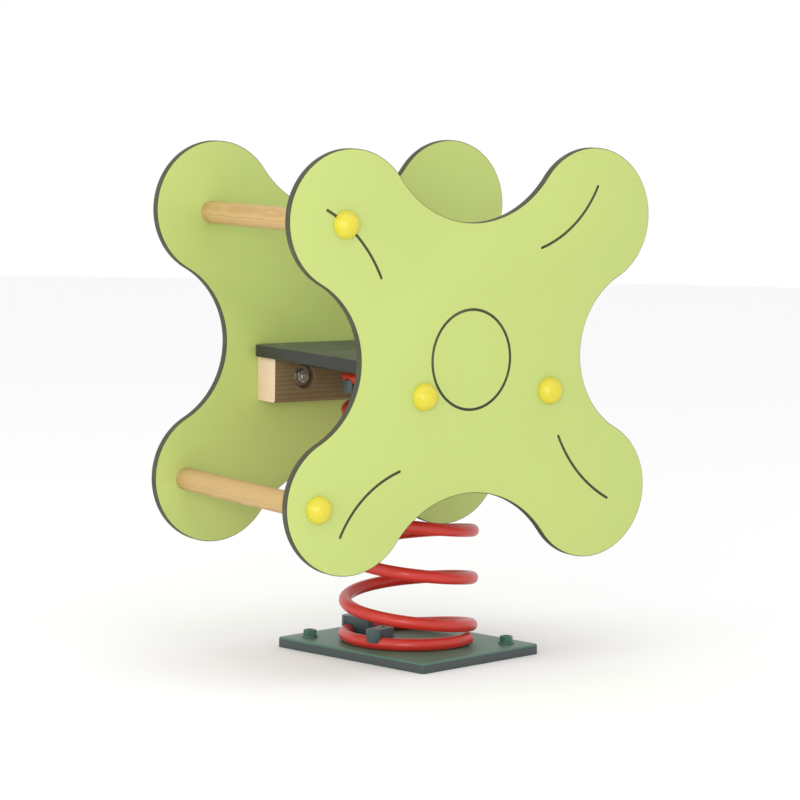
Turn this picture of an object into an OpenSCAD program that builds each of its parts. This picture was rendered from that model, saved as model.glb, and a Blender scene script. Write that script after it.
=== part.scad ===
// Spring seesaw for one small rider: two lobed side panels round a seat, carried by two beams
// on one coil spring that is clamped to a ground plate.
// X runs fore and aft with the handle at -X, Y runs across, Z is up.
// The origin is on the spring's axis, on the ground.

/* [Ground plate] */
// Length of the ground plate along its first side
plate_w = 240; // [220:1:300]
// Length of the ground plate along its second side
plate_d = 290; // [250:1:350]
// Thickness of the ground plate
plate_t = 15; // [12:0.5:20]
// Radius of the plate's corners
plate_corner_r = 5; // [3:1:20]
// Bevel along the plate's top edge
plate_bevel = 2.5; // [1:0.5:4]
// Turn of the plate under the spring, degrees
plate_turn = 13.5; // [0:0.5:30]
// Distance from the plate's edges to the anchor holes
anchor_inset = 33; // [24:1:45]
// Diameter of the anchor holes
anchor_hole_d = 12; // [11:0.5:16]
// Thread diameter of the anchor studs
anchor_thread_d = 10; // [8:1:12]

/* [Spring] */
// Diameter of the spring wire
wire_d = 18; // [14:0.5:20]
// Outer diameter of the coil
spring_od = 200; // [180:1:230]
// Height of the spring from the ground plate to the head plate
spring_h = 390; // [330:1:470]
// Turns of wire that the height is shared between
spring_turns = 7; // [6:1:8]
// Part of a turn that lies flat at each end
flat_turn = 0.74; // [0.7:0.01:0.8]
// Part of a turn in which the pitch builds up
ramp_turn = 0.08; // [0.05:0.01:0.2]
// Direction in which the wire starts, degrees
spring_start = -32.5; // [-60:0.5:0]

/* [Clamps] */
// Width of a clamp block round the coil
clamp_w = 22; // [20:1:30]
// Height of a clamp block
clamp_h = 29; // [28:1:32]
// Part of a turn from the wire's start to the first clamp
clamp_turn_a = 0.335; // [0.3:0.005:0.36]
// Part of a turn from the wire's start to the second clamp
clamp_turn_b = 0.57; // [0.55:0.01:0.7]

/* [Beams and head plate] */
// Length of a beam
beam_len = 308; // [260:1:370]
// Thickness of a beam across the seesaw
beam_w = 50; // [40:1:60]
// Height of a beam
beam_h = 65; // [55:1:90]
// Radius along a beam's long edges
beam_edge_r = 5; // [2:0.5:8]
// Place of the beams' middle in front of or behind the spring
beam_x = 3; // [-20:1:20]
// Length of the head plate fore and aft
head_len = 210; // [205:1:250]
// Thickness of the head plate
head_t = 12; // [10:0.5:14]
// Bearing of the head plate on each beam
head_bearing = 36; // [28:1:40]

/* [Seat] */
// Length of the seat plate
seat_len = 330; // [280:1:400]
// Thickness of the seat plate
seat_t = 17; // [10:0.5:21]
// Radius of the seat's corners
seat_corner_r = 16; // [5:1:40]

/* [Side panels] */
// Clear width between the two panels
panel_gap = 355; // [310:1:430]
// Thickness of a panel
panel_t = 12; // [10:0.5:16]
// Place of the panels' centre in front of or behind the spring
panel_x = -22; // [-40:1:20]
// Height of the panels' centre above the beams
panel_up = 21.5; // [0:0.5:40]
// Half the distance between lobe centres, fore and aft
lobe_x = 199; // [185:1:260]
// Half the distance between lobe centres, up and down
lobe_z = 192; // [180:1:240]
// Radius of a lobe
lobe_r = 96.5; // [85:0.5:105]
// Half the panel's length at its waist
waist_x = 181; // [160:1:200]
// Half the panel's height at its waist
waist_z = 186.5; // [170:0.5:205]
// Width of the milled lines
groove_w = 4; // [2:0.5:6]
// Depth of the milled lines
groove_depth = 1.5; // [0.5:0.25:3]

/* [Bars] */
// Diameter of the handle and of the foot bar
bar_d = 32; // [28:1:40]
// Handle's place from the panels' centre, fore and aft
handle_x = -208; // [-230:1:-180]
// Handle's place from the panels' centre, up and down
handle_z = 187; // [150:1:220]
// Foot bar's place from the panels' centre, fore and aft
foot_x = -246; // [-255:1:-180]
// Foot bar's place from the panels' centre, up and down
foot_z = -195; // [-220:1:-150]

/* [Bolts and caps] */
// Distance between the two bolts of a beam
bolt_span = 208; // [170:1:250]
// Height of the beam bolts above the beam's middle
bolt_up = 4.5; // [0:0.5:8]
// Diameter of the bolts
bolt_d = 10; // [8:1:12]
// Diameter of a cap
cap_d = 38; // [34:1:44]
// Height of a cap's dome
cap_h = 15; // [12:0.5:18]
// Thickness of the collar that a cap snaps on
collar_t = 3; // [2:0.5:4]

/* [Hidden] */
$fn = 64;

// clearances
bolt_clear = 0.5;       // on the diameter of a bolt's hole
thread_clear = 0.2;     // on the diameter of a tapped hole
wire_clear = 0.4;       // on the diameter of a clamp's groove
seat_clear = 1.5;       // from the seat's side to a panel
recess_clear = 1;       // from the head plate to the sides of its recess
tip_clear = 1;          // from the wire's cut end to the next turn
over = 1;               // how far a cutter passes the face it cuts

// heights of the stack
head_z = plate_t + spring_h;
beam_top = head_z + head_t;
beam_mid = beam_top - beam_h / 2;
bolt_z = beam_mid + bolt_up;
panel_z = beam_top + panel_up;
panel_in = panel_gap / 2;
beam_in = panel_in - beam_w;

// fasteners: sizes follow the thread as on common hexagon parts
function hex_flats(d) = 1.5 * d + 2;
function head_height(d) = 0.64 * d;
function nut_height(d) = 0.85 * d;
washer_t = 2.5;
function washer_d(d) = 2 * d + 2;
csk_d = 15;             // head of a countersunk screw
csk_h = 4;
wood_screw_d = 7;
head_screw_len = 48;
seat_screw_len = 55;
recess_d = 34;          // round recess for a beam bolt's nut
recess_depth = 14;
insert_d = 14;          // threaded sleeve in the end of a bar
insert_len = 30;
cap_cavity_d = 25;
cap_cavity_h = 8;

// the coil's centre line: it rises by a formula in t, the number of turns from its start
wire_r = wire_d / 2;
coil_r = (spring_od - wire_d) / 2;
coil_low = plate_t + wire_r;
coil_rise = spring_h - wire_d;
pitch = coil_rise / (spring_turns - 2 * flat_turn - ramp_turn);
turns_half = spring_turns / 2;
tip_turn = flat_turn + ramp_turn / 2 - 1 + (wire_d + tip_clear) / pitch;   // cut off each end
function ramp_rise(s) =
    s <= 0 ? 0 :
    s < ramp_turn ? pitch * s * s / (2 * ramp_turn) :
    pitch * (s - ramp_turn / 2);
function coil_z(t) =
    t <= turns_half
        ? coil_low + ramp_rise(t - flat_turn)
        : coil_low + coil_rise - ramp_rise(spring_turns - t - flat_turn);
function coil_angle(t) = spring_start - 360 * t;

// the flexing length is shared between four stretches of wire
flex_start = 1;
flex_end = spring_turns - 1;
flex_step = (flex_end - flex_start) / 4;
coil_sides = 12;
rings_per_turn = 32;

// the clamps
clamp_back = 32;        // from the wire's centre to the inner end of a clamp
clamp_nose = 12;        // from the wire's centre to the tip of a clamp
clamp_head_d = 18;      // countersunk head of a clamp's bolt
clamp_bolt_r = coil_r - 21;
clamp_nose_up = 11;     // from the plate to the underside of the nose
nose_flat = 0.55;       // width of the nose's flat as a part of the clamp's width

// ------------------------------------------------------------------ shared shapes

module rounded_rect(w, h, r) {
    square([w - 2 * r, h], center = true);
    square([w, h - 2 * r], center = true);
    for (sx = [-1, 1], sy = [-1, 1])
        translate([sx * (w / 2 - r), sy * (h / 2 - r)])
            circle(r);
}

module at_corners(dx, dy)
    for (sx = [-1, 1], sy = [-1, 1])
        translate([sx * dx, sy * dy, 0])
            children();

// turns a shape that points along +Z so that it points out through the panel on that side
module facing_out(side)
    rotate([side < 0 ? 90 : -90, 0, 0])
        children();

module hex_prism(d, h)
    cylinder(d = hex_flats(d) / cos(30), h = h, $fn = 6);

module ring(outer, inner, h)
    difference() {
        cylinder(d = outer, h = h);
        translate([0, 0, -over])
            cylinder(d = inner, h = h + 2 * over);
    }

// a countersunk screw, head up, with the top of its head at z = 0
module csk_screw(len) {
    rotate_extrude()
        polygon([
            [0, 0], [csk_d / 2, 0], [wood_screw_d / 2, -csk_h],
            [wood_screw_d / 2, -len + csk_h], [0, -len]
        ]);
}

module csk_hole(depth)
    rotate_extrude()
        polygon([
            [0, over], [csk_d / 2 + over, over], [(wood_screw_d + thread_clear) / 2, -csk_h],
            [(wood_screw_d + thread_clear) / 2, -depth], [0, -depth]
        ]);

// ------------------------------------------------------------------ ground plate and anchors

anchor_x = plate_w / 2 - anchor_inset;
anchor_y = plate_d / 2 - anchor_inset;

// two anchors, at opposite corners of the plate
module at_anchors()
    rotate(plate_turn)
        for (s = [-1, 1])
            translate([s * anchor_x, -s * anchor_y, 0])
                children();

module base_plate()
    color("darkslategray")
        difference() {
            rotate(plate_turn)
                base_blank();
            at_anchors()
                translate([0, 0, -over])
                    cylinder(d = anchor_hole_d, h = plate_t + 2 * over);
            at_clamps()
                translate([-clamp_back_of_bolt(), 0, -over])
                    cylinder(d = bolt_d + thread_clear, h = plate_t + 2 * over);
        }

// three slabs make the bevelled top edge
module base_blank() {
    steps = 2;
    linear_extrude(plate_t - plate_bevel)
        rounded_rect(plate_w, plate_d, plate_corner_r);
    for (i = [1 : steps])
        linear_extrude(plate_t - plate_bevel + plate_bevel * i / steps)
            rounded_rect(
                plate_w - 2 * plate_bevel * i / (steps + 1),
                plate_d - 2 * plate_bevel * i / (steps + 1),
                plate_corner_r - plate_bevel * i / (steps + 1));
}

module anchor_washers()
    color("darkslategray")
        at_anchors()
            translate([0, 0, plate_t])
                ring(washer_d(anchor_thread_d), anchor_thread_d + bolt_clear, washer_t);

module anchor_nuts()
    color("seagreen")
        at_anchors()
            translate([0, 0, plate_t + washer_t])
                difference() {
                    hex_prism(anchor_thread_d, nut_height(anchor_thread_d));
                    translate([0, 0, -over])
                        cylinder(d = anchor_thread_d, h = nut_height(anchor_thread_d) + 2 * over);
                }

// ------------------------------------------------------------------ clamps

function clamp_back_of_bolt() = coil_r - clamp_bolt_r;

// places a clamp so that the wire's centre line passes through its own origin
module at_clamp(angle)
    rotate(angle)
        translate([coil_r, 0, 0])
            children();

module at_clamps()
    for (t = [clamp_turn_a, clamp_turn_b])
        at_clamp(coil_angle(t))
            children();

// standing on z = 0, with the wire lying on z = 0 too
module clamp_block() {
    flat = clamp_w * nose_flat / 2;
    chamfer = clamp_w / 2 - flat;
    difference() {
        linear_extrude(clamp_h)
            polygon([
                [-clamp_back, -clamp_w / 2], [clamp_nose - chamfer, -clamp_w / 2],
                [clamp_nose, -flat], [clamp_nose, flat],
                [clamp_nose - chamfer, clamp_w / 2], [-clamp_back, clamp_w / 2]
            ]);
        translate([-coil_r, 0, wire_r])
            rotate_extrude()
                translate([coil_r, 0])
                    circle(d = wire_d + wire_clear);
        translate([-(wire_d + wire_clear) / 2, -clamp_w, -over])
            cube([clamp_nose + wire_d, 2 * clamp_w, clamp_nose_up + over]);
        translate([-clamp_back_of_bolt(), 0, 0])
            csk_pin((bolt_d + bolt_clear) / 2, over, over);
    }
}

// a pin with a countersunk head that ends level with the top of a clamp block, or above it
module csk_pin(shank_r, grip, above = 0) {
    head_r = clamp_head_d / 2;
    rotate_extrude()
        polygon([
            [0, clamp_h + above], [head_r + above, clamp_h + above],
            [shank_r, clamp_h - head_r + shank_r], [shank_r, -grip], [0, -grip]
        ]);
}

// head in the top of a clamp block, shank through it and into the plate below
module clamp_bolt(grip)
    translate([-clamp_back_of_bolt(), 0, 0])
        csk_pin(bolt_d / 2, grip);

// the coil's top end mirrors its bottom end
module at_top_clamps()
    for (t = [clamp_turn_a, clamp_turn_b])
        at_clamp(coil_angle(spring_turns - t))
            translate([0, 0, head_z])
                mirror([0, 0, 1])
                    children();

module lower_clamps()
    color("darkslategray")
        at_clamps()
            translate([0, 0, plate_t])
                clamp_block();

module lower_clamp_bolts()
    color("slategray")
        at_clamps()
            translate([0, 0, plate_t])
                clamp_bolt(plate_t - over);

module upper_clamps()
    color("darkslategray")
        at_top_clamps()
            clamp_block();

module upper_clamp_bolts()
    color("slategray")
        at_top_clamps()
            clamp_bolt(head_t - over);

// ------------------------------------------------------------------ spring

// one ring of points round the wire, square to the wire's run
function wire_ring(t) =
    let (
        a = coil_angle(t),
        dt = 0.001,
        climb = atan2(coil_z(t + dt) - coil_z(t - dt), 2 * dt * 2 * PI * coil_r),
        out = [cos(a), sin(a), 0],
        up = [-sin(climb) * sin(a), sin(climb) * cos(a), cos(climb)],
        centre = [coil_r * cos(a), coil_r * sin(a), coil_z(t)]
    )
    [for (i = [0 : coil_sides - 1])
        let (p = 360 * (i + 0.5) / coil_sides)
        centre + wire_r * (cos(p) * out + sin(p) * up)];

// a length of wire between two numbers of turns
module wire(from, to) {
    rings = ceil((to - from) * rings_per_turn);
    points = [for (k = [0 : rings]) each wire_ring(from + (to - from) * k / rings)];
    sides = [
        for (k = [0 : rings - 1], i = [0 : coil_sides - 1])
            let (
                j = (i + 1) % coil_sides,
                low = k * coil_sides,
                high = low + coil_sides
            )
            each [[low + i, low + j, high + j], [low + i, high + j, high + i]]
    ];
    first_end = [for (i = [coil_sides - 1 : -1 : 0]) i];
    last_end = [for (i = [0 : coil_sides - 1]) rings * coil_sides + i];
    polyhedron(points, concat(sides, [first_end, last_end]));
}

module flexing_wire(n)
    color("firebrick")
        wire(flex_start + (n - 1) * flex_step, flex_start + n * flex_step);

module spring_bottom_coil()
    color("firebrick")
        wire(tip_turn, flex_start);

module spring_lower_turns() flexing_wire(1);
module spring_middle_turns() flexing_wire(2);
module spring_upper_turns() flexing_wire(3);
module spring_neck_turns() flexing_wire(4);

module spring_top_coil()
    color("firebrick")
        wire(flex_end, spring_turns - tip_turn);

// ------------------------------------------------------------------ head plate and beams

head_w = 2 * (beam_in + head_bearing);
head_screw_x = head_len / 2 - 20;
head_screw_y = beam_in + head_bearing / 2;
seat_screw_x = beam_len / 2 - 28;
seat_screw_y = beam_in + beam_w / 2;

module head_plate()
    color("dimgray")
        difference() {
            translate([0, 0, head_z])
                linear_extrude(head_t)
                    rounded_rect(head_len, head_w, seat_corner_r);
            at_corners(head_screw_x, head_screw_y)
                translate([0, 0, beam_top])
                    csk_hole(head_t + over);
            at_top_clamps()
                translate([-clamp_back_of_bolt(), 0, -head_t - over])
                    cylinder(d = bolt_d + thread_clear, h = head_t + 2 * over);
        }

module head_screws()
    color("silver")
        at_corners(head_screw_x, head_screw_y)
            translate([0, 0, beam_top])
                csk_screw(head_screw_len);

module beam_bolt_places(side)
    for (sx = [-1, 1])
        translate([beam_x + sx * bolt_span / 2, side * panel_in, bolt_z])
            facing_out(side)
                children();

module beam(side)
    color("saddlebrown")
        difference() {
            translate([beam_x - beam_len / 2, side * (beam_in + beam_w / 2), beam_mid])
                rotate([90, 0, 90])
                    linear_extrude(beam_len)
                        rounded_rect(beam_w, beam_h, beam_edge_r);
            beam_bolt_places(side) {
                translate([0, 0, -beam_w - over])
                    cylinder(d = bolt_d + bolt_clear, h = beam_w + 2 * over);
                translate([0, 0, -beam_w - over])
                    cylinder(d = recess_d, h = recess_depth + over);
            }
            translate([0, 0, head_z])
                linear_extrude(head_t + over)
                    rounded_rect(head_len + 2 * recess_clear, head_w + 2 * recess_clear,
                        seat_corner_r);
            at_corners(head_screw_x, head_screw_y)
                translate([0, 0, beam_top - head_screw_len])
                    cylinder(d = wood_screw_d + thread_clear, h = head_screw_len);
            translate([beam_x, 0, beam_top + seat_t])
                at_corners(seat_screw_x, seat_screw_y)
                    translate([0, 0, -seat_screw_len])
                        cylinder(d = wood_screw_d + thread_clear, h = seat_screw_len);
        }

module beam_left() beam(-1);
module beam_right() beam(1);

// ------------------------------------------------------------------ seat

module seat_plate()
    color("darkslategray")
        translate([beam_x, 0, beam_top])
            difference() {
                linear_extrude(seat_t)
                    rounded_rect(seat_len, panel_gap - 2 * seat_clear, seat_corner_r);
                at_corners(seat_screw_x, seat_screw_y)
                    translate([0, 0, seat_t])
                        csk_hole(seat_t + over);
            }

module seat_screws()
    color("silver")
        translate([beam_x, 0, beam_top + seat_t])
            at_corners(seat_screw_x, seat_screw_y)
                csk_screw(seat_screw_len);

// ------------------------------------------------------------------ side panels

// The outline is four round lobes joined by four hollow arcs that meet them in a tangent.
side_c = (lobe_x * lobe_x + lobe_z * lobe_z - pow(lobe_r - waist_x, 2)) / (2 * (lobe_x + lobe_r - waist_x));
top_c = (lobe_x * lobe_x + lobe_z * lobe_z - pow(lobe_r - waist_z, 2)) / (2 * (lobe_z + lobe_r - waist_z));
side_r = side_c - waist_x;
top_r = top_c - waist_z;
lobe = [lobe_x, lobe_z];
side_meet = lobe + ([side_c, 0] - lobe) * lobe_r / (lobe_r + side_r);
top_meet = lobe + ([0, top_c] - lobe) * lobe_r / (lobe_r + top_r);

module panel_outline() {
    difference() {
        polygon([
            [side_meet.x, -side_meet.y], side_meet, top_meet, [-top_meet.x, top_meet.y],
            [-side_meet.x, side_meet.y], -side_meet, -top_meet, [top_meet.x, -top_meet.y]
        ]);
        for (s = [-1, 1]) {
            translate([s * side_c, 0])
                circle(side_r, $fn = 128);
            translate([0, s * top_c])
                circle(top_r, $fn = 128);
        }
    }
    for (sx = [-1, 1], sz = [-1, 1])
        translate([sx * lobe_x, sz * lobe_z])
            circle(lobe_r, $fn = 128);
}

// milled lines: an oval in the middle and a bowed line on each lobe
lines_x = -2.5;
oval_x = 64;
oval_z = 69;
oval_down = 1.5;
line_len = 126;
line_a = [-187.5, 164];
line_a_dir = -47;
line_a_bow = 10.5;
line_b = [166, 187.5];
line_b_dir = 222;
line_b_bow = 13;

module oval(grow) {
    steps = 72;
    polygon([for (i = [0 : steps - 1])
        let (a = 360 * i / steps)
        [(oval_x + grow) * cos(a), (oval_z + grow) * sin(a)]]);
}

// a bowed line through its middle point, bowing to the left of its direction
module bowed_line(middle, direction, bow) {
    r = (pow(line_len / 2, 2) + bow * bow) / (2 * bow);
    half = asin(line_len / 2 / r);
    reach = 2 * r;
    translate(middle)
        rotate(direction)
            translate([0, bow / 2 - r])
                intersection() {
                    difference() {
                        circle(r + groove_w / 2, $fn = 128);
                        circle(r - groove_w / 2, $fn = 128);
                    }
                    polygon([
                        [0, 0], [reach * sin(half), reach * cos(half)],
                        [-reach * sin(half), reach * cos(half)]
                    ]);
                }
}

module milled_lines()
    translate([lines_x, 0]) {
        translate([0, -oval_down])
            difference() {
                oval(groove_w / 2);
                oval(-groove_w / 2);
            }
        for (turn = [0, 180])
            rotate(turn) {
                bowed_line(line_a, line_a_dir, line_a_bow);
                bowed_line(line_b, line_b_dir, line_b_bow);
            }
    }

// a panel stands in the XZ plane, from y = 0 to y = panel_t, with its outer face at panel_t
module upright()
    mirror([0, 1, 0])
        rotate([90, 0, 0])
            children();

module bar_places(side)
    for (p = [[handle_x, handle_z], [foot_x, foot_z]])
        translate([panel_x + p.x, side * panel_in, panel_z + p.y])
            facing_out(side)
                children();

module side_panel(side)
    color("yellowgreen")
        difference() {
            translate([panel_x, side * panel_in, panel_z])
                mirror([0, side < 0 ? 1 : 0, 0])
                    difference() {
                        upright()
                            linear_extrude(panel_t)
                                panel_outline();
                        translate([0, panel_t - groove_depth, 0])
                            upright()
                                linear_extrude(groove_depth + over)
                                    milled_lines();
                    }
            bar_places(side)
                translate([0, 0, -over])
                    cylinder(d = bolt_d + bolt_clear, h = panel_t + 2 * over);
            beam_bolt_places(side)
                translate([0, 0, -over])
                    cylinder(d = bolt_d + bolt_clear, h = panel_t + 2 * over);
        }

module side_panel_left() side_panel(-1);
module side_panel_right() side_panel(1);

// ------------------------------------------------------------------ bars

module bar(x, z)
    color("burlywood")
        translate([panel_x + x, -panel_in, panel_z + z])
            facing_out(1)
                difference() {
                    cylinder(d = bar_d, h = panel_gap);
                    for (end = [0, 1])
                        translate([0, 0, end * panel_gap])
                            mirror([0, 0, end])
                                translate([0, 0, -over])
                                    cylinder(d = insert_d, h = insert_len + over);
                }

module handle_bar() bar(handle_x, handle_z);
module foot_bar() bar(foot_x, foot_z);

module bar_inserts()
    color("goldenrod")
        for (side = [-1, 1])
            bar_places(side)
                translate([0, 0, -insert_len])
                    ring(insert_d, bolt_d + thread_clear, insert_len);

// hexagon screw with its head on a collar outside the panel
module outer_screw(reach) {
    translate([0, 0, panel_t + collar_t])
        hex_prism(bolt_d, head_height(bolt_d));
    translate([0, 0, -reach])
        cylinder(d = bolt_d, h = reach + panel_t + collar_t);
}

module bar_screws()
    color("silver")
        for (side = [-1, 1])
            bar_places(side)
                outer_screw(insert_len - over);

// ------------------------------------------------------------------ beam bolts

nut_seat = beam_w - recess_depth;

module beam_bolts()
    color("silver")
        for (side = [-1, 1])
            beam_bolt_places(side)
                outer_screw(beam_w - over);

module beam_washers()
    color("silver")
        for (side = [-1, 1])
            beam_bolt_places(side)
                translate([0, 0, -nut_seat - washer_t])
                    ring(recess_d - 4, bolt_d + bolt_clear, washer_t);

module beam_nuts()
    color("silver")
        for (side = [-1, 1])
            beam_bolt_places(side)
                translate([0, 0, -nut_seat - washer_t - nut_height(bolt_d)])
                    difference() {
                        hex_prism(bolt_d, nut_height(bolt_d));
                        translate([0, 0, -over])
                            cylinder(d = bolt_d + thread_clear, h = nut_height(bolt_d) + 2 * over);
                    }

// ------------------------------------------------------------------ caps

module cap_places(side) {
    bar_places(side)
        children();
    beam_bolt_places(side)
        children();
}

module cap_collars()
    color("gold")
        for (side = [-1, 1])
            cap_places(side)
                translate([0, 0, panel_t])
                    ring(cap_d, bolt_d + bolt_clear, collar_t);

// part of a ball, as high as cap_h and as wide as cap_d, hollow for the screw's head
module cap_dome() {
    ball = (pow(cap_d / 2, 2) + cap_h * cap_h) / (2 * cap_h);
    translate([0, 0, panel_t + collar_t])
        rotate_extrude()
            difference() {
                intersection() {
                    translate([0, cap_h - ball])
                        circle(ball, $fn = 96);
                    square([cap_d, cap_d]);
                }
                translate([-over, -over])
                    square([cap_cavity_d / 2 + over, cap_cavity_h + over]);
            }
}

module cap_domes_left()
    color("gold")
        cap_places(-1)
            cap_dome();

module cap_domes_right()
    color("gold")
        cap_places(1)
            cap_dome();

// ------------------------------------------------------------------ the assembly

base_plate();
anchor_washers();
anchor_nuts();
lower_clamps();
lower_clamp_bolts();
spring_bottom_coil();
spring_lower_turns();
spring_middle_turns();
spring_upper_turns();
spring_neck_turns();
spring_top_coil();
upper_clamps();
upper_clamp_bolts();
head_plate();
head_screws();
beam_left();
beam_right();
seat_plate();
seat_screws();
side_panel_left();
side_panel_right();
handle_bar();
foot_bar();
bar_inserts();
bar_screws();
beam_bolts();
beam_washers();
beam_nuts();
cap_collars();
cap_domes_left();
cap_domes_right();
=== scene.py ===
import math
import bpy
from mathutils import Matrix, Vector


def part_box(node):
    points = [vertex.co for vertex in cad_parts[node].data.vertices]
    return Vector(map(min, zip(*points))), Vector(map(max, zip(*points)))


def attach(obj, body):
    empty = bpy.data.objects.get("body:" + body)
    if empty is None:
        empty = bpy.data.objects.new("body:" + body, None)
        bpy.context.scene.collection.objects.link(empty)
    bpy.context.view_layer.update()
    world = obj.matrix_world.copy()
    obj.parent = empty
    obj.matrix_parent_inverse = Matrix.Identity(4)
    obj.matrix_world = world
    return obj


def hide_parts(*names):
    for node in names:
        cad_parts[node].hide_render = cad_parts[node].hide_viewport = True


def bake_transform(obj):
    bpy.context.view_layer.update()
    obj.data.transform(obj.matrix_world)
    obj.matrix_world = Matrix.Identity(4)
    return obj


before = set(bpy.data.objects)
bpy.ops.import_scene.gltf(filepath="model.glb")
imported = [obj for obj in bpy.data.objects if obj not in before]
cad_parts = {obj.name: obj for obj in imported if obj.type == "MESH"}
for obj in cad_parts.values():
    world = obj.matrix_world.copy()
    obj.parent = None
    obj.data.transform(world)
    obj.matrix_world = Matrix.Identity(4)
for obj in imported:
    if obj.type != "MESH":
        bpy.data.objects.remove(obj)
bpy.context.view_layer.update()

MM = 0.001

# ---------------------------------------------------------------------------------------
# Places, taken from the frame. Everything is in metres, +Z up, with the ground at zero.
# ---------------------------------------------------------------------------------------


def span(node):
    """Lowest corner, highest corner and middle of a part of the frame."""
    low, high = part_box(node)
    return low, high, (low + high) / 2


PLATE_LOW, PLATE_HIGH, _ = span("base_plate")
HEAD_LOW, HEAD_HIGH, _ = span("head_plate")
SEAT_LOW, SEAT_HIGH, SEAT_MID = span("seat_plate")
BEAM_LOW, BEAM_HIGH, BEAM_MID = span("beam_right")
PANEL_LOW, PANEL_HIGH, PANEL_MID = span("side_panel_right")
HANDLE_MID = span("handle_bar")[2]
FOOT_MID = span("foot_bar")[2]
PANEL_IN = PANEL_LOW.y
PANEL_T = PANEL_HIGH.y - PANEL_LOW.y

# Ground plate
PLATE_W = 240 * MM
PLATE_D = 290 * MM
PLATE_CORNER = 5 * MM
PLATE_BEVEL = 2.5 * MM
PLATE_TURN = math.radians(13.5)
ANCHOR_INSET = 33 * MM
ANCHOR_HOLE = 12 * MM
ANCHOR_THREAD = 10 * MM

# Spring: the centre line rises with the number of turns t
WIRE_R = 9 * MM
COIL_R = 91 * MM
TURNS = 7
FLAT_TURN = 0.74
RAMP_TURN = 0.08
PITCH = (HEAD_LOW.z - PLATE_HIGH.z - 2 * WIRE_R) / (TURNS - 2 * FLAT_TURN - RAMP_TURN)
TIP_TURN = FLAT_TURN + RAMP_TURN / 2 - 1 + (2 * WIRE_R + 1 * MM) / PITCH
SPRING_START = math.radians(-32.5)
FLEX_START = 1
FLEX_STEP = (TURNS - 2 * FLEX_START) / 4
CLAMP_TURNS = (0.335, 0.57)

# Clamps
CLAMP_W = 22 * MM
CLAMP_H = 29 * MM
CLAMP_BACK = 32 * MM
CLAMP_NOSE = 12 * MM
CLAMP_HEAD_R = 9 * MM
CLAMP_BOLT_BACK = 21 * MM
CLAMP_NOSE_UP = 11 * MM

# Beams, head plate and seat
BEAM_EDGE = 5 * MM
RECESS_D = 34 * MM
RECESS_DEPTH = 14 * MM
BOLT_SPAN = 208 * MM
BOLT_UP = 4.5 * MM
CORNER_R = 16 * MM
HEAD_SCREW_INSET = 20 * MM
SEAT_SCREW_INSET = 28 * MM

# Panel outline: four lobes joined by hollow arcs
LOBE_X = 199 * MM
LOBE_Z = 192 * MM
LOBE_R = 96.5 * MM
WAIST_X = 181 * MM
WAIST_Z = 186.5 * MM
PANEL_EDGE = 1.0 * MM
GROOVE_W = 4 * MM
GROOVE_DEPTH = 1.5 * MM
LINES_X = -2.5 * MM
OVAL_DOWN = 1.5 * MM

# Bars, bolts and caps
BAR_R = 16 * MM
BOLT_D = 10 * MM
CAP_R = 19 * MM
CAP_H = 15 * MM
COLLAR_T = 3 * MM
WASHER_T = 2.5 * MM

ROUND = 48          # sides of a small round part


# ---------------------------------------------------------------------------------------
# Camera
# ---------------------------------------------------------------------------------------

def make_camera():
    """A long lens at a low angle, looking at the left side from the handle's end."""
    yaw, pitch, roll = (math.radians(a) for a in (32.63, 5.9, 0.81))
    distance = 4.7148
    aim = Vector((-0.019, 0.0, 0.3631))
    back = Vector((-math.sin(yaw) * math.cos(pitch), -math.cos(yaw) * math.cos(pitch), math.sin(pitch)))
    level = Vector((math.cos(yaw), -math.sin(yaw), 0))
    up = back.cross(level)
    right = level * math.cos(roll) + up * math.sin(roll)
    up = back.cross(right)
    data = bpy.data.cameras.new("camera")
    data.sensor_width = 36
    data.lens = 148.9
    camera = bpy.data.objects.new("camera", data)
    bpy.context.scene.collection.objects.link(camera)
    turn = Matrix((right, up, back)).transposed().to_4x4()
    camera.matrix_world = Matrix.Translation(aim + back * distance) @ turn
    bpy.context.scene.camera = camera


# ---------------------------------------------------------------------------------------
# Mesh work
# ---------------------------------------------------------------------------------------

class Blank:
    """Points and faces of one piece while it is being made."""

    def __init__(self):
        self.points = []
        self.faces = []
        self.slots = []
        self.wear = []

    def loft(self, loops, slots=None, caps=(0, 0), wear=None, place=None, closed=False):
        """Skins a row of loops that have the same number of points, with an end face on each end."""
        place = place or Matrix.Identity(4)
        start = len(self.points)
        count = len(loops[0])
        for k, loop in enumerate(loops):
            self.points += [place @ Vector(p) for p in loop]
            self.wear += [wear[k] if wear else 0.0] * count
        flip = place.determinant() < 0
        bands = len(loops) if closed else len(loops) - 1
        for k in range(bands):
            low = start + k * count
            high = start + (k + 1) % len(loops) * count
            for i in range(count):
                j = (i + 1) % count
                self.face([low + i, low + j, high + j, high + i], slots[k] if slots else 0, flip)
        if not closed:
            if caps[0] is not None:
                self.face([start + i for i in reversed(range(count))], caps[0], flip)
            if caps[1] is not None:
                last = start + (len(loops) - 1) * count
                self.face([last + i for i in range(count)], caps[1], flip)
        return self

    def face(self, corners, slot, flip=False):
        self.faces.append(list(reversed(corners)) if flip else corners)
        self.slots.append(slot)

    def mesh(self, name, sharp=32):
        mesh = bpy.data.meshes.new(name)
        mesh.from_pydata(self.points, [], self.faces)
        mesh.polygons.foreach_set("material_index", self.slots)
        mesh.polygons.foreach_set("use_smooth", [True] * len(self.faces))
        attribute = mesh.attributes.new("wear", "FLOAT", "POINT")
        attribute.data.foreach_set("value", self.wear)
        mesh.set_sharp_from_angle(angle=math.radians(sharp))
        mesh.update()
        return mesh


def make_object(name, mesh, materials):
    piece = bpy.data.objects.new(name, mesh)
    bpy.context.scene.collection.objects.link(piece)
    for material in materials:
        mesh.materials.append(material)
    return piece


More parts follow.
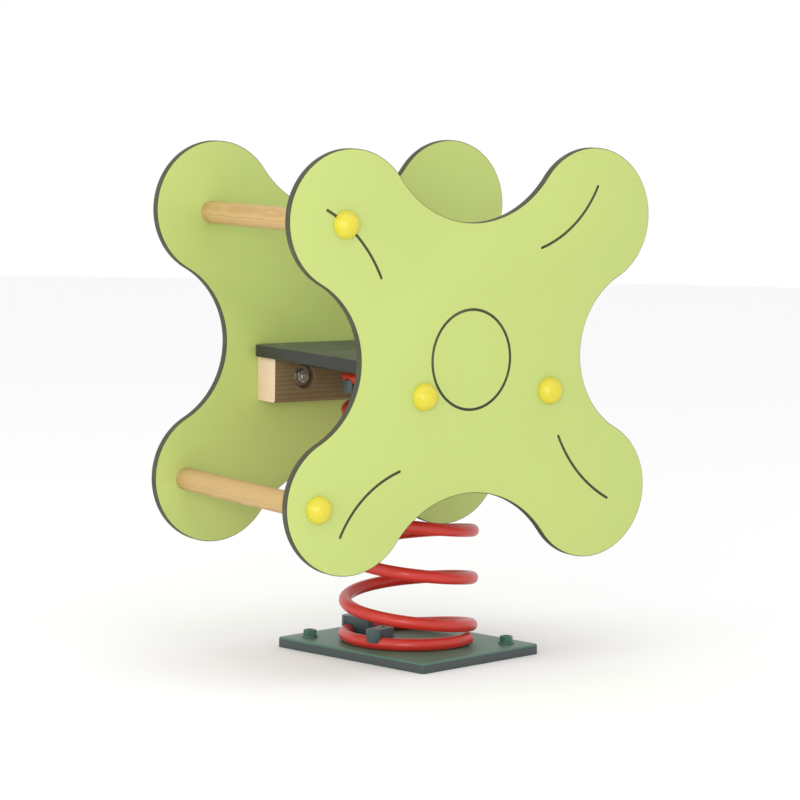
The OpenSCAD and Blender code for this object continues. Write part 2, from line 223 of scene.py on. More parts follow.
def finish_piece(piece, body, nodes):
    """Puts a piece on its body, in the place of the CAD parts that it stands for."""
    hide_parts(*nodes)
    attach(piece, body)
    return piece


def bake(piece, sharp):
    """Keeps the shape that the piece's modifiers give it."""
    bpy.context.view_layer.update()
    shaped = bpy.data.meshes.new_from_object(piece.evaluated_get(bpy.context.evaluated_depsgraph_get()))
    piece.modifiers.clear()
    piece.data = shaped
    shaped.name = piece.name
    shaped.set_sharp_from_angle(angle=math.radians(sharp))


def cut(piece, *blanks, sharp=32):
    """Takes cutters out of a piece, one after another; the cut walls keep their material slots."""
    for blank in blanks:
        cutter = make_object(piece.name + "_cutter", blank.mesh("cutter"), piece.data.materials[:])
        modifier = piece.modifiers.new("cut", "BOOLEAN")
        modifier.operation = "DIFFERENCE"
        modifier.solver = "EXACT"
        modifier.object = cutter
        bake(piece, sharp)
        bpy.data.objects.remove(cutter)


def soften(piece, width, sharp=32):
    """Breaks the sharp edges of a piece with a small round."""
    modifier = piece.modifiers.new("soft edges", "BEVEL")
    modifier.width = width
    modifier.segments = 2
    modifier.limit_method = "ANGLE"
    modifier.angle_limit = math.radians(40)
    bake(piece, sharp)


def circle_loop(radius, z, sides=ROUND):
    return [
        (radius * math.cos(2 * math.pi * i / sides), radius * math.sin(2 * math.pi * i / sides), z)
        for i in range(sides)
    ]


def turned(blank, profile, place=None, sides=ROUND, **more):
    """A solid turned round Z from a profile of (radius, height) points, from bottom to top."""
    return blank.loft([circle_loop(r, z, sides) for r, z in profile], place=place, **more)


def turned_ring(blank, profile, place=None, sides=ROUND, **more):
    """A ring turned round Z from a closed profile."""
    return blank.loft([circle_loop(r, z, sides) for r, z in profile], place=place, closed=True, **more)


def rounded_rect(width, depth, radius, z=0.0, steps=8):
    """A rectangle with round corners, anticlockwise seen from +Z."""
    loop = []
    for quarter, (sx, sy) in enumerate(((1, 1), (-1, 1), (-1, -1), (1, -1))):
        cx = sx * (width / 2 - radius)
        cy = sy * (depth / 2 - radius)
        for k in range(steps + 1):
            a = math.pi / 2 * (quarter + k / steps)
            loop.append((cx + radius * math.cos(a), cy + radius * math.sin(a), z))
    return loop


def slab(blank, width, depth, radius, low, high, top_edge, bottom_edge, place=None, steps=8, **more):
    """A flat plate with round corners and rounded or bevelled edges."""
    loops = []
    wear = []
    for edge, z, up in ((bottom_edge, low, 1), (top_edge, high, -1)):
        rows = []
        for k in range(4):
            a = math.pi / 2 * k / 3
            inset = edge * (1 - math.sin(a))
            rows.append((inset, z + up * edge * (1 - math.cos(a))))
        if up < 0:
            rows.reverse()
        for inset, level in rows:
            loops.append(rounded_rect(width - 2 * inset, depth - 2 * inset,
                                      radius - inset * 0.5, level, steps))
            wear.append(1.0 if 0 < inset < edge else 0.4)
    return blank.loft(loops, place=place, wear=wear, **more)


def tube(blank, path, radius, sides, closed=False, round_ends=False, **more):
    """A round tube along a path of (centre, outward, upward) stations."""
    loops = []

    def ring(centre, outward, upward, r):
        return [
            centre + r * (math.cos(2 * math.pi * (i + 0.5) / sides) * outward
                          + math.sin(2 * math.pi * (i + 0.5) / sides) * upward)
            for i in range(sides)
        ]

    steps = 6
    if round_ends:
        centre, outward, upward = path[0]
        ahead = (path[1][0] - centre).normalized()
        for k in range(1, steps):
            a = math.pi / 2 * k / steps
            loops.append(ring(centre - ahead * radius * math.cos(a), outward, upward, radius * math.sin(a)))
    loops += [ring(*station, radius) for station in path]
    if round_ends:
        centre, outward, upward = path[-1]
        ahead = (centre - path[-2][0]).normalized()
        for k in range(1, steps):
            a = math.pi / 2 * k / steps
            loops.append(ring(centre + ahead * radius * math.sin(a), outward, upward, radius * math.cos(a)))
    return blank.loft(loops, closed=closed, **more)


# ---------------------------------------------------------------------------------------
# Hexagon parts and screws, standing on z = 0 and pointing up
# ---------------------------------------------------------------------------------------

def hex_flats(thread):
    return 1.5 * thread + 2 * MM


def hex_loop(flats, z, chamfer_from=None, up=1, sides=60):
    """A hexagon outline; with chamfer_from its corners drop away as a chamfered nut's do."""
    loop = []
    for i in range(sides):
        a = 2 * math.pi * i / sides
        r = flats / 2 / math.cos((a + math.pi / 6) % (math.pi / 3) - math.pi / 6)
        drop = 0.0
        if chamfer_from is not None:
            drop = max(0.0, r - chamfer_from) * math.tan(math.radians(30))
        loop.append((r * math.cos(a), r * math.sin(a), z - up * drop))
    return loop


def hex_nut(blank, thread, height, place):
    """A nut with both faces chamfered and an open bore with a countersunk mouth."""
    sides = 60
    flats = hex_flats(thread)
    rim = flats / 2 * 0.97
    bore = thread / 2
    lip = bore + 0.8 * MM
    blank.loft([
        circle_loop(bore, 0.8 * MM, sides),
        circle_loop(lip, 0, sides),
        circle_loop(rim, 0, sides),
        hex_loop(flats, 0, rim, -1, sides),
        hex_loop(flats, height, rim, 1, sides),
        circle_loop(rim, height, sides),
        circle_loop(lip, height, sides),
        circle_loop(bore, height - 0.8 * MM, sides),
    ], place=place, closed=True, wear=[0, 0.3, 0.6, 1, 1, 0.6, 0.3, 0])


def hex_bolt(blank, thread, head_height, shank, place):
    """A hexagon bolt with its head's foot at z = 0 and its shank pointing down."""
    sides = 60
    flats = hex_flats(thread)
    rim = flats / 2 * 0.95
    r = thread / 2
    blank.loft([
        circle_loop(r - 1.0 * MM, -shank, sides),
        circle_loop(r, -shank + 1.0 * MM, sides),
        circle_loop(r, 0, sides),
        hex_loop(flats, 0, None, 1, sides),
        hex_loop(flats, head_height, rim, 1, sides),
        circle_loop(rim, head_height, sides),
    ], place=place, wear=[0, 0, 0, 0.5, 1, 0.7])


def washer(blank, outer_d, inner_d, place):
    edge = 0.4 * MM
    ro, ri = outer_d / 2, inner_d / 2
    turned_ring(blank, [
        (ri, edge), (ri + edge, 0), (ro - edge, 0), (ro, edge),
        (ro, WASHER_T - edge), (ro - edge, WASHER_T), (ri + edge, WASHER_T), (ri, WASHER_T - edge)
    ], place, wear=[0, 0, 0, 0.4, 1, 1, 0.3, 0])


def csk_screw(blank, length, place, head_r=7.5 * MM, shank=3.5 * MM, point=(0.5 * MM, 8 * MM), socket=5 * MM):
    """A countersunk screw with a hexagon socket; the top of its head is at z = 0."""
    sides = 60
    loops = [
        circle_loop(point[0], -length, sides),
        circle_loop(shank, -length + point[1], sides),
        circle_loop(shank, shank - head_r - 0.2 * MM, sides),
        circle_loop(head_r, -0.4 * MM, sides),
        circle_loop(head_r, -0.15 * MM, sides),
        circle_loop(head_r - 0.3 * MM, 0, sides),
        circle_loop(socket * 0.62, 0, sides),
        hex_loop(socket, -0.5 * MM, None, 1, sides),
        hex_loop(socket, -2.6 * MM, None, 1, sides),
    ]
    blank.loft(loops, place=place)


# ---------------------------------------------------------------------------------------
# Node helpers for the materials
# ---------------------------------------------------------------------------------------

def srgb(r, g, b):
    """A display colour, 0 to 255, as the linear colour that a shader takes."""
    def linear(v):
        v /= 255
        return v / 12.92 if v <= 0.04045 else ((v + 0.055) / 1.055) ** 2.4
    return (linear(r), linear(g), linear(b), 1.0)


def node(tree, kind, inputs=None, **settings):
    """Adds a node, with its settings, and with values or links on its inputs."""
    made = tree.nodes.new(kind)
    for key, value in settings.items():
        setattr(made, key, value)
    for key, value in (inputs or {}).items():
        if isinstance(value, bpy.types.NodeSocket):
            tree.links.new(value, made.inputs[key])
        else:
            made.inputs[key].default_value = value
    return made


def maths(tree, operation, a, b=0.0, c=0.0, clamp=False):
    return node(tree, "ShaderNodeMath", {0: a, 1: b, 2: c}, operation=operation, use_clamp=clamp).outputs[0]


def vector_maths(tree, operation, a, b=(0, 0, 0), out=0):
    return node(tree, "ShaderNodeVectorMath", {0: a, 1: b}, operation=operation).outputs[out]


def mix(tree, factor, a, b, blend="MIX"):
    made = node(tree, "ShaderNodeMix", {0: factor, 6: a, 7: b}, data_type="RGBA", blend_type=blend)
    return made.outputs[2]


def spread(tree, value, low, high, to_low=0.0, to_high=1.0):
    """Maps a range of values to another, eased at both ends."""
    made = node(tree, "ShaderNodeMapRange", {0: value, 1: low, 2: high, 3: to_low, 4: to_high})
    made.interpolation_type = "SMOOTHSTEP"
    return made.outputs[0]


def noise(tree, vector, scale, detail=3.0, rough=0.5, distortion=0.0):
    return node(tree, "ShaderNodeTexNoise", {
        "Vector": vector, "Scale": scale, "Detail": detail, "Roughness": rough, "Distortion": distortion
    }).outputs["Fac"]


def own_place(tree):
    return node(tree, "ShaderNodeTexCoord").outputs["Object"]


def new_group(name, inputs, outputs):
    """An empty shader group with named sockets; returns the tree, its inputs and its outputs."""
    tree = bpy.data.node_groups.new(name, "ShaderNodeTree")
    kinds = {"value": "NodeSocketFloat", "colour": "NodeSocketColor", "vector": "NodeSocketVector"}
    for label, kind, default in inputs:
        socket = tree.interface.new_socket(label, in_out="INPUT", socket_type=kinds[kind])
        socket.default_value = default
    for label, kind in outputs:
        tree.interface.new_socket(label, in_out="OUTPUT", socket_type=kinds[kind])
    entry = tree.nodes.new("NodeGroupInput")
    leave = tree.nodes.new("NodeGroupOutput")
    return tree, entry.outputs, leave.inputs


def use_group(tree, group, **values):
    """Places a group in a material; the underscores of a name stand for spaces."""
    made = tree.nodes.new("ShaderNodeGroup")
    made.node_tree = group
    for key, value in values.items():
        socket = made.inputs[key.replace("_", " ")]
        if isinstance(value, bpy.types.NodeSocket):
            tree.links.new(value, socket)
        else:
            socket.default_value = value
    return made.outputs


def new_material(name, **uniform):
    """A material with one Principled shader; uniform values go on the shader's own sockets."""
    material = bpy.data.materials.new(name)
    material.use_nodes = True
    tree = material.node_tree
    tree.nodes.clear()
    shader = tree.nodes.new("ShaderNodeBsdfPrincipled")
    output = tree.nodes.new("ShaderNodeOutputMaterial")
    tree.links.new(shader.outputs[0], output.inputs["Surface"])
    for key, value in uniform.items():
        shader.inputs[key.replace("_", " ")].default_value = value
    return material, tree, shader.inputs


def bump(tree, height, strength, distance):
    return node(tree, "ShaderNodeBump", {
        "Height": height, "Strength": strength, "Distance": distance
    }).outputs["Normal"]


# ---------------------------------------------------------------------------------------
# Shared surface effects
# ---------------------------------------------------------------------------------------

def make_mottle_group():
    """Slow changes of shade over a surface, with small specks on top."""
    tree, entry, leave = new_group("mottle", [
        ("Colour", "colour", (0.5, 0.5, 0.5, 1)),
        ("Patch scale", "value", 6.0),
        ("Patch depth", "value", 0.06),
        ("Speck scale", "value", 900.0),
        ("Speck depth", "value", 0.03),
    ], [("Colour", "colour"), ("Shade", "value")])
    place = own_place(tree)
    patch = noise(tree, place, entry["Patch scale"], 4.0, 0.55)
    speck = noise(tree, place, entry["Speck scale"], 2.0, 0.6)
    swing = maths(tree, "MULTIPLY", maths(tree, "SUBTRACT", patch, 0.5),
                  maths(tree, "MULTIPLY", entry["Patch depth"], 2.0))
    fine = maths(tree, "MULTIPLY", maths(tree, "SUBTRACT", speck, 0.5),
                 maths(tree, "MULTIPLY", entry["Speck depth"], 2.0))
    shade = maths(tree, "ADD", maths(tree, "ADD", swing, fine), 1.0)
    tinted = node(tree, "ShaderNodeVectorMath", {0: entry["Colour"], 3: shade}, operation="SCALE").outputs[0]
    tree.links.new(tinted, leave["Colour"])
    tree.links.new(shade, leave["Shade"])
    return tree


def make_dust_group():
    """Pale dust that settles on faces that look up, thicker in patches and near the ground."""
    tree, entry, leave = new_group("settled dust", [
        ("Colour", "colour", (0.5, 0.5, 0.5, 1)),
        ("Dust", "colour", srgb(176, 170, 150)),
        ("Amount", "value", 0.4),
        ("Patch scale", "value", 22.0),
        ("Fade height", "value", 0.2),
    ], [("Colour", "colour"), ("Mask", "value")])
    place = own_place(tree)
    up = node(tree, "ShaderNodeSeparateXYZ",
              {0: node(tree, "ShaderNodeNewGeometry").outputs["Normal"]}).outputs[2]
    height = node(tree, "ShaderNodeSeparateXYZ", {0: place}).outputs[2]
    facing = spread(tree, up, 0.2, 1.0)
    patch = spread(tree, noise(tree, place, entry["Patch scale"], 6.0, 0.62), 0.35, 0.72)
    near = maths(tree, "SUBTRACT", 1.0, maths(tree, "DIVIDE", height, entry["Fade height"]), clamp=True)
    mask = maths(tree, "MULTIPLY", maths(tree, "MULTIPLY", facing, patch),
                 maths(tree, "MULTIPLY", near, entry["Amount"]), clamp=True)
    tree.links.new(mix(tree, mask, entry["Colour"], entry["Dust"]), leave["Colour"])
    tree.links.new(mask, leave["Mask"])
    return tree


def make_chip_group():
    """Paint that is worn through along the edges that the maker marked for wear."""
    tree, entry, leave = new_group("chipped edge", [
        ("Paint", "colour", (0.5, 0.5, 0.5, 1)),
        ("Bare", "colour", srgb(118, 112, 104)),
        ("Amount", "value", 0.5),
        ("Chip scale", "value", 160.0),
    ], [("Colour", "colour"), ("Mask", "value")])
    place = own_place(tree)
    edge = node(tree, "ShaderNodeAttribute", attribute_name="wear").outputs["Fac"]
    broken = noise(tree, place, entry["Chip scale"], 5.0, 0.7)
    reach = maths(tree, "ADD", broken,
                  maths(tree, "MULTIPLY", edge, maths(tree, "MULTIPLY", entry["Amount"], 0.5)))
    mask = spread(tree, reach, 0.80, 0.88)
    tree.links.new(mix(tree, mask, entry["Paint"], entry["Bare"]), leave["Colour"])
    tree.links.new(mask, leave["Mask"])
    return tree


def make_paint_film_group():
    """The gentle ripple of a sprayed coat, with a few specks of grit in it."""
    tree, entry, leave = new_group("paint film", [
        ("Ripple scale", "value", 260.0),
        ("Grit scale", "value", 1400.0),
        ("Grit", "value", 0.25),
    ], [("Height", "value")])
    place = own_place(tree)
    ripple = noise(tree, place, entry["Ripple scale"], 1.5, 0.4)
    grit = spread(tree, noise(tree, place, entry["Grit scale"], 1.0, 0.5), 0.62, 0.75)
    total = maths(tree, "ADD", ripple, maths(tree, "MULTIPLY", grit, entry["Grit"]))
    tree.links.new(total, leave["Height"])
    return tree


def make_scratch_group():
    """Fine, long scratches in a few directions, where people brush past."""
    tree, entry, leave = new_group("fine scratches", [
        ("Scale", "value", 60.0),
        ("Amount", "value", 0.5),
    ], [("Mask", "value")])
    place = own_place(tree)
    total = 0.0
    for turn, stretch in ((0.5, 14.0), (-0.9, 18.0), (1.7, 11.0)):
        turned_place = node(tree, "ShaderNodeMapping", {
            "Vector": place, "Rotation": (0.3, turn, 0.2), "Scale": (1.0, 1.0, stretch)
        }).outputs[0]
        line = noise(tree, turned_place, entry["Scale"], 3.0, 0.6)
        total = maths(tree, "ADD", spread(tree, line, 0.68, 0.76), total)
    tree.links.new(maths(tree, "MULTIPLY", total, entry["Amount"], clamp=True), leave["Mask"])
    return tree


def make_timber_group():
    """Softwood sawn from a log: growth rings round a pith line and fibres along it."""
    tree, entry, leave = new_group("timber", [
        ("Pith", "vector", (0, 0, 0)),
        ("Across", "vector", (1, 0, 1)),
        ("Fibre scale", "vector", (700, 20, 700)),
        ("Ring width", "value", 0.0035),
        ("Wander", "value", 0.004),
        ("Early wood", "colour", srgb(232, 200, 140)),
        ("Late wood", "colour", srgb(190, 140, 84)),
        ("Contrast", "value", 0.7),
    ], [("Colour", "colour"), ("Height", "value"), ("Late", "value")])
    place = own_place(tree)
    along = vector_maths(tree, "MULTIPLY", place, vector_maths(tree, "SUBTRACT", (1, 1, 1), entry["Across"]))
    slow = vector_maths(tree, "ADD", vector_maths(tree, "MULTIPLY", along, (5, 5, 5)),
                        vector_maths(tree, "MULTIPLY", place, (16, 16, 16)))
    sway = maths(tree, "SUBTRACT", noise(tree, slow, 1.0, 2.0, 0.5), 0.5)
    away = vector_maths(tree, "MULTIPLY",
                        vector_maths(tree, "SUBTRACT", place, entry["Pith"]), entry["Across"])
    reach = vector_maths(tree, "LENGTH", away, out=1)
    bent = maths(tree, "ADD", reach, maths(tree, "MULTIPLY", sway, entry["Wander"]))
    phase = maths(tree, "FRACT", maths(tree, "DIVIDE", bent, entry["Ring width"]))
    rise = spread(tree, phase, 0.25, 0.88)
    fall = spread(tree, phase, 0.90, 1.0, 1.0, 0.0)
    late = maths(tree, "MULTIPLY", rise, fall)
    fibre_place = vector_maths(tree, "MULTIPLY", place, entry["Fibre scale"])
    fibre = noise(tree, fibre_place, 1.0, 3.0, 0.6)
    depth = maths(tree, "MULTIPLY", late, entry["Contrast"])
    toned = mix(tree, depth, entry["Early wood"], entry["Late wood"])
    streak = maths(tree, "ADD", maths(tree, "MULTIPLY", fibre, 0.24), 0.88)
    patch = maths(tree, "ADD", maths(tree, "MULTIPLY", noise(tree, place, 14.0, 2.0), 0.2), 0.9)
    shade = maths(tree, "MULTIPLY", streak, patch)
    shaded = node(tree, "ShaderNodeVectorMath", {0: toned, 3: shade}, operation="SCALE").outputs[0]
    tree.links.new(shaded, leave["Colour"])
    height = maths(tree, "ADD", maths(tree, "MULTIPLY", fibre, 0.5), maths(tree, "MULTIPLY", late, 0.5))
    tree.links.new(height, leave["Height"])
    tree.links.new(late, leave["Late"])
    return tree


MOTTLE = make_mottle_group()
DUST = make_dust_group()
CHIPS = make_chip_group()
PAINT_FILM = make_paint_film_group()
SCRATCHES = make_scratch_group()
TIMBER = make_timber_group()


# ---------------------------------------------------------------------------------------
# Materials
# ---------------------------------------------------------------------------------------

def lime_laminate():
    """Satin high-pressure laminate: even colour, a fine pressed texture, faint scuffs and smears."""
    material, tree, shader = new_material("lime_laminate", Specular_IOR_Level=0.38)
    toned = use_group(tree, MOTTLE, Colour=srgb(184, 199, 114), Patch_scale=5.0, Patch_depth=0.025,
                      Speck_scale=700.0, Speck_depth=0.015)
    dusty = use_group(tree, DUST, Colour=toned["Colour"], Amount=0.12, Fade_height=2.0)
    scuffs = use_group(tree, SCRATCHES, Scale=26.0, Amount=0.5)["Mask"]
    worn = mix(tree, maths(tree, "MULTIPLY", scuffs, 0.10), dusty["Colour"], srgb(226, 232, 182))
    tree.links.new(worn, shader["Base Color"])
    smear = noise(tree, own_place(tree), 9.0, 4.0, 0.6)
    rough = maths(tree, "ADD", spread(tree, smear, 0.3, 0.7, 0.40, 0.50),
                  maths(tree, "MULTIPLY", scuffs, 0.12))
    tree.links.new(rough, shader["Roughness"])
    pressed = noise(tree, own_place(tree), 1300.0, 2.0, 0.6)
    tree.links.new(bump(tree, pressed, 0.12, 0.0003), shader["Normal"])
    return material


def laminate_core():
    """The dark core of the laminate: pressed paper layers that show on the cut edge."""
    material, tree, shader = new_material("laminate_core", Specular_IOR_Level=0.3)
    place = own_place(tree)
    layers = noise(tree, vector_maths(tree, "MULTIPLY", place, (12, 2600, 12)), 1.0, 2.0, 0.6)
    tone = mix(tree, spread(tree, layers, 0.35, 0.65), srgb(58, 60, 45), srgb(84, 86, 62))
    rubbed = spread(tree, noise(tree, place, 30.0, 5.0, 0.65), 0.45, 0.8, 0.0, 0.35)
    tree.links.new(mix(tree, rubbed, tone, srgb(112, 116, 84)), shader["Base Color"])
    tree.links.new(spread(tree, layers, 0.3, 0.7, 0.55, 0.72), shader["Roughness"])
    tree.links.new(bump(tree, layers, 0.25, 0.0003), shader["Normal"])
    return material


def dark_laminate(name, colour, pale):
    """Dark, slip-resistant laminate for the seat."""
    material, tree, shader = new_material(name, Specular_IOR_Level=0.4)
    toned = use_group(tree, MOTTLE, Colour=colour, Patch_scale=18.0, Patch_depth=0.10,
                      Speck_scale=600.0, Speck_depth=0.08)
    worn = spread(tree, noise(tree, own_place(tree), 11.0, 5.0, 0.6), 0.45, 0.75, 0.0, 0.35)
    scuffs = use_group(tree, SCRATCHES, Scale=40.0, Amount=0.6)["Mask"]
    shaded = mix(tree, maths(tree, "MAXIMUM", worn, maths(tree, "MULTIPLY", scuffs, 0.3)),
                 toned["Colour"], pale)
    dusty = use_group(tree, DUST, Colour=shaded, Amount=0.22, Fade_height=2.0, Dust=srgb(150, 152, 138))
    tree.links.new(dusty["Colour"], shader["Base Color"])
    tree.links.new(maths(tree, "ADD", 0.46, maths(tree, "MULTIPLY", dusty["Mask"], 0.5)), shader["Roughness"])
    cells = node(tree, "ShaderNodeTexVoronoi",
                 {"Vector": own_place(tree), "Scale": 420.0}).outputs["Distance"]
    tree.links.new(bump(tree, cells, 0.35, 0.0004), shader["Normal"])
    return material


def painted_steel(name, colour, bare, dust, chips=0.5, gloss=0.32, ripple=0.12, coat=0.0):
    """Powder-coated steel with a rippled film, worn edges and dust."""
    material, tree, shader = new_material(name, Coat_Weight=coat, Coat_Roughness=0.12)
    toned = use_group(tree, MOTTLE, Colour=colour, Patch_scale=14.0, Patch_depth=0.10,
                      Speck_scale=800.0, Speck_depth=0.03)
    chipped = use_group(tree, CHIPS, Paint=toned["Colour"], Bare=bare, Amount=chips)
    dusty = use_group(tree, DUST, Colour=chipped["Colour"], Amount=dust, Fade_height=0.6)
    tree.links.new(dusty["Colour"], shader["Base Color"])
    dull = maths(tree, "ADD", maths(tree, "MULTIPLY", chipped["Mask"], 0.25),
                 maths(tree, "MULTIPLY", dusty["Mask"], 0.5))
    tree.links.new(maths(tree, "ADD", dull, gloss, clamp=True), shader["Roughness"])
    film = use_group(tree, PAINT_FILM)["Height"]
    sunk = maths(tree, "SUBTRACT", film, maths(tree, "MULTIPLY", chipped["Mask"], 0.8))
    tree.links.new(bump(tree, sunk, ripple, 0.0006), shader["Normal"])
    return material


def plated_steel(name, colour, metallic=0.9, rough=0.34):
    """Zinc on steel: a soft metal with crystal patches and a little white bloom."""
    material, tree, shader = new_material(name)
    place = own_place(tree)
    crystal = node(tree, "ShaderNodeTexVoronoi", {"Vector": place, "Scale": 260.0}).outputs["Color"]
    facet = node(tree, "ShaderNodeSeparateColor", {0: crystal}).outputs[0]
    bloom = spread(tree, noise(tree, place, 120.0, 5.0, 0.65), 0.55, 0.8)
    toned = mix(tree, maths(tree, "MULTIPLY", facet, 0.35), colour, srgb(214, 214, 208))
    tree.links.new(mix(tree, maths(tree, "MULTIPLY", bloom, 0.35), toned, srgb(196, 194, 186)),
                   shader["Base Color"])
    tree.links.new(maths(tree, "SUBTRACT", metallic, maths(tree, "MULTIPLY", bloom, 0.4), clamp=True),
                   shader["Metallic"])
    tree.links.new(maths(tree, "ADD", rough, maths(tree, "MULTIPLY", facet, 0.18)), shader["Roughness"])
    tree.links.new(bump(tree, noise(tree, place, 900.0, 2.0), 0.1, 0.0003), shader["Normal"])
    return material


def moulded_nylon():
    """Yellow moulded caps: smooth, a little waxy, with flow marks and tiny pits."""
    material, tree, shader = new_material("moulded_nylon", Subsurface_Weight=0.25,
                                          Subsurface_Radius=(0.006, 0.004, 0.001),
                                          Subsurface_Scale=1.0, Specular_IOR_Level=0.5)
    toned = use_group(tree, MOTTLE, Colour=srgb(214, 200, 54), Patch_scale=60.0, Patch_depth=0.05,
                      Speck_scale=1500.0, Speck_depth=0.02)
    dusty = use_group(tree, DUST, Colour=toned["Colour"], Amount=0.12, Patch_scale=90.0, Fade_height=2.0)
    tree.links.new(dusty["Colour"], shader["Base Color"])
    flow = noise(tree, own_place(tree), 140.0, 3.0, 0.5, 1.5)
    tree.links.new(spread(tree, flow, 0.3, 0.7, 0.26, 0.36), shader["Roughness"])
    tree.links.new(bump(tree, noise(tree, own_place(tree), 500.0, 2.0), 0.05, 0.0003), shader["Normal"])
    return material


def timber(name, pith, across, fibre, early, late,
           ring=0.0035, contrast=0.7, grime=0.15, rough=0.5, stain=None):
    """Wood that was sawn or turned, with growth rings, fibres, handled patches and weather."""
    material, tree, shader = new_material(name, Specular_IOR_Level=0.3)
    wood = use_group(tree, TIMBER, Pith=pith, Across=across, Fibre_scale=fibre, Ring_width=ring,
                     Early_wood=early, Late_wood=late, Contrast=contrast)
    place = own_place(tree)
    grey = maths(tree, "MULTIPLY", spread(tree, noise(tree, place, 28.0, 6.0, 0.65), 0.45, 0.8), grime)
    weathered = mix(tree, grey, wood["Colour"], stain or srgb(150, 124, 88))
    tree.links.new(weathered, shader["Base Color"])
    tree.links.new(maths(tree, "ADD", rough, maths(tree, "MULTIPLY", wood["Height"], 0.2)),
                   shader["Roughness"])
    tree.links.new(bump(tree, wood["Height"], 0.25, 0.0004), shader["Normal"])
    return material


LIME = lime_laminate()
CORE = laminate_core()
SEAT_TOP = dark_laminate("seat_laminate", srgb(68, 73, 66), srgb(92, 98, 88))
SEAT_EDGE = dark_laminate("seat_edge", srgb(38, 40, 38), srgb(58, 60, 56))
SPRING_RED = painted_steel("spring_red_coat", srgb(196, 44, 34), srgb(120, 70, 60), 0.06,
                           chips=0.25, gloss=0.34, coat=0.1)
PLATE_GREEN = painted_steel("plate_green_coat", srgb(70, 112, 96), srgb(100, 106, 96), 0.12,
                            chips=0.5, gloss=0.42)
# The plate's sides: its own green paint with painted shade, darker and greyer than the top, as an upright
# side in shade looks.
PLATE_SIDE_SHADE = painted_steel("plate_side_painted_shade", srgb(62, 72, 71), srgb(92, 94, 88), 0.1, chips=0.6, gloss=0.46)
NUT_GREEN = painted_steel("nut_green_coat", srgb(58, 102, 86), srgb(88, 96, 88), 0.15, chips=0.3, gloss=0.38)
CLAMP_TEAL = painted_steel("clamp_teal_coat", srgb(58, 78, 80), srgb(96, 94, 90), 0.1, chips=0.5, gloss=0.38)
HEAD_DARK = painted_steel("head_dark_coat", srgb(50, 56, 56), srgb(90, 90, 86), 0.1, chips=0.5, gloss=0.42)
ZINC = plated_steel("zinc_plated", srgb(184, 184, 178))
DULL_ZINC = plated_steel("dull_zinc", srgb(92, 94, 88), 0.5, 0.5)
BRASS = plated_steel("insert_brass", srgb(190, 156, 84), 0.85, 0.35)
NYLON = moulded_nylon()
BAR_PALE = srgb(200, 168, 112)
BAR_DARK = srgb(178, 140, 88)
HANDLE_PINE = timber("handle_pine", (HANDLE_MID.x + 0.05, 0, HANDLE_MID.z - 0.03), (1, 0, 1), (900, 14, 900),
                     BAR_PALE, BAR_DARK, 0.0030, contrast=0.5)
FOOT_PINE = timber("foot_pine", (FOOT_MID.x - 0.04, 0, FOOT_MID.z - 0.045), (1, 0, 1), (900, 14, 900),
                   BAR_PALE, BAR_DARK, 0.0030, contrast=0.5)
BEAM_STAIN = timber("beam_stained_pine", (0, BEAM_MID.y * 1.5, BEAM_MID.z - 0.09), (0, 1, 1), (12, 700, 700),
                    srgb(126, 108, 76), srgb(104, 86, 58), 0.0040,
                    contrast=0.6, grime=0.3, stain=srgb(84, 68, 48), rough=0.55)
BEAM_END = timber("beam_sawn_end", (0, BEAM_MID.y * 1.5, BEAM_MID.z - 0.09), (0, 1, 1), (500, 500, 500),
                  srgb(236, 212, 184), srgb(210, 176, 138), 0.0050, contrast=0.55, grime=0.15, rough=0.7)


# ---------------------------------------------------------------------------------------
# Ground plate, anchors and clamps
# ---------------------------------------------------------------------------------------

def corners(dx, dy):
    return [(sx * dx, sy * dy) for sx in (-1, 1) for sy in (-1, 1)]


def anchor_places(z):
    """Two anchors, at opposite corners of the plate."""
    turn = Matrix.Rotation(PLATE_TURN, 4, "Z")
    x = PLATE_W / 2 - ANCHOR_INSET
    y = PLATE_D / 2 - ANCHOR_INSET
    return [turn @ Matrix.Translation((s * x, -s * y, z)) for s in (-1, 1)]


def coil_z(t):
    """Height of the wire's centre after t turns; the coil lies flat at both ends."""
    low = PLATE_HIGH.z + WIRE_R
    high = HEAD_LOW.z - WIRE_R

    def ramp(s):
        if s <= 0:
            return 0.0
        if s < RAMP_TURN:
            return PITCH * s * s / (2 * RAMP_TURN)
        return PITCH * (s - RAMP_TURN / 2)

    if t <= TURNS / 2:
        return low + ramp(t - FLAT_TURN)
    return high - ramp(TURNS - t - FLAT_TURN)


def coil_angle(t):
    return SPRING_START - 2 * math.pi * t


def clamp_places():
    """Lower clamps stand on the ground plate, upper ones hang from the head plate."""
    lower = [
        Matrix.Rotation(coil_angle(t), 4, "Z") @ Matrix.Translation((COIL_R, 0, PLATE_HIGH.z))
        for t in CLAMP_TURNS
    ]
    over = Matrix.Scale(-1, 4, (0, 0, 1))
    upper = [
        Matrix.Rotation(coil_angle(TURNS - t), 4, "Z") @ Matrix.Translation((COIL_R, 0, HEAD_LOW.z)) @ over
        for t in CLAMP_TURNS
    ]
    return lower, upper


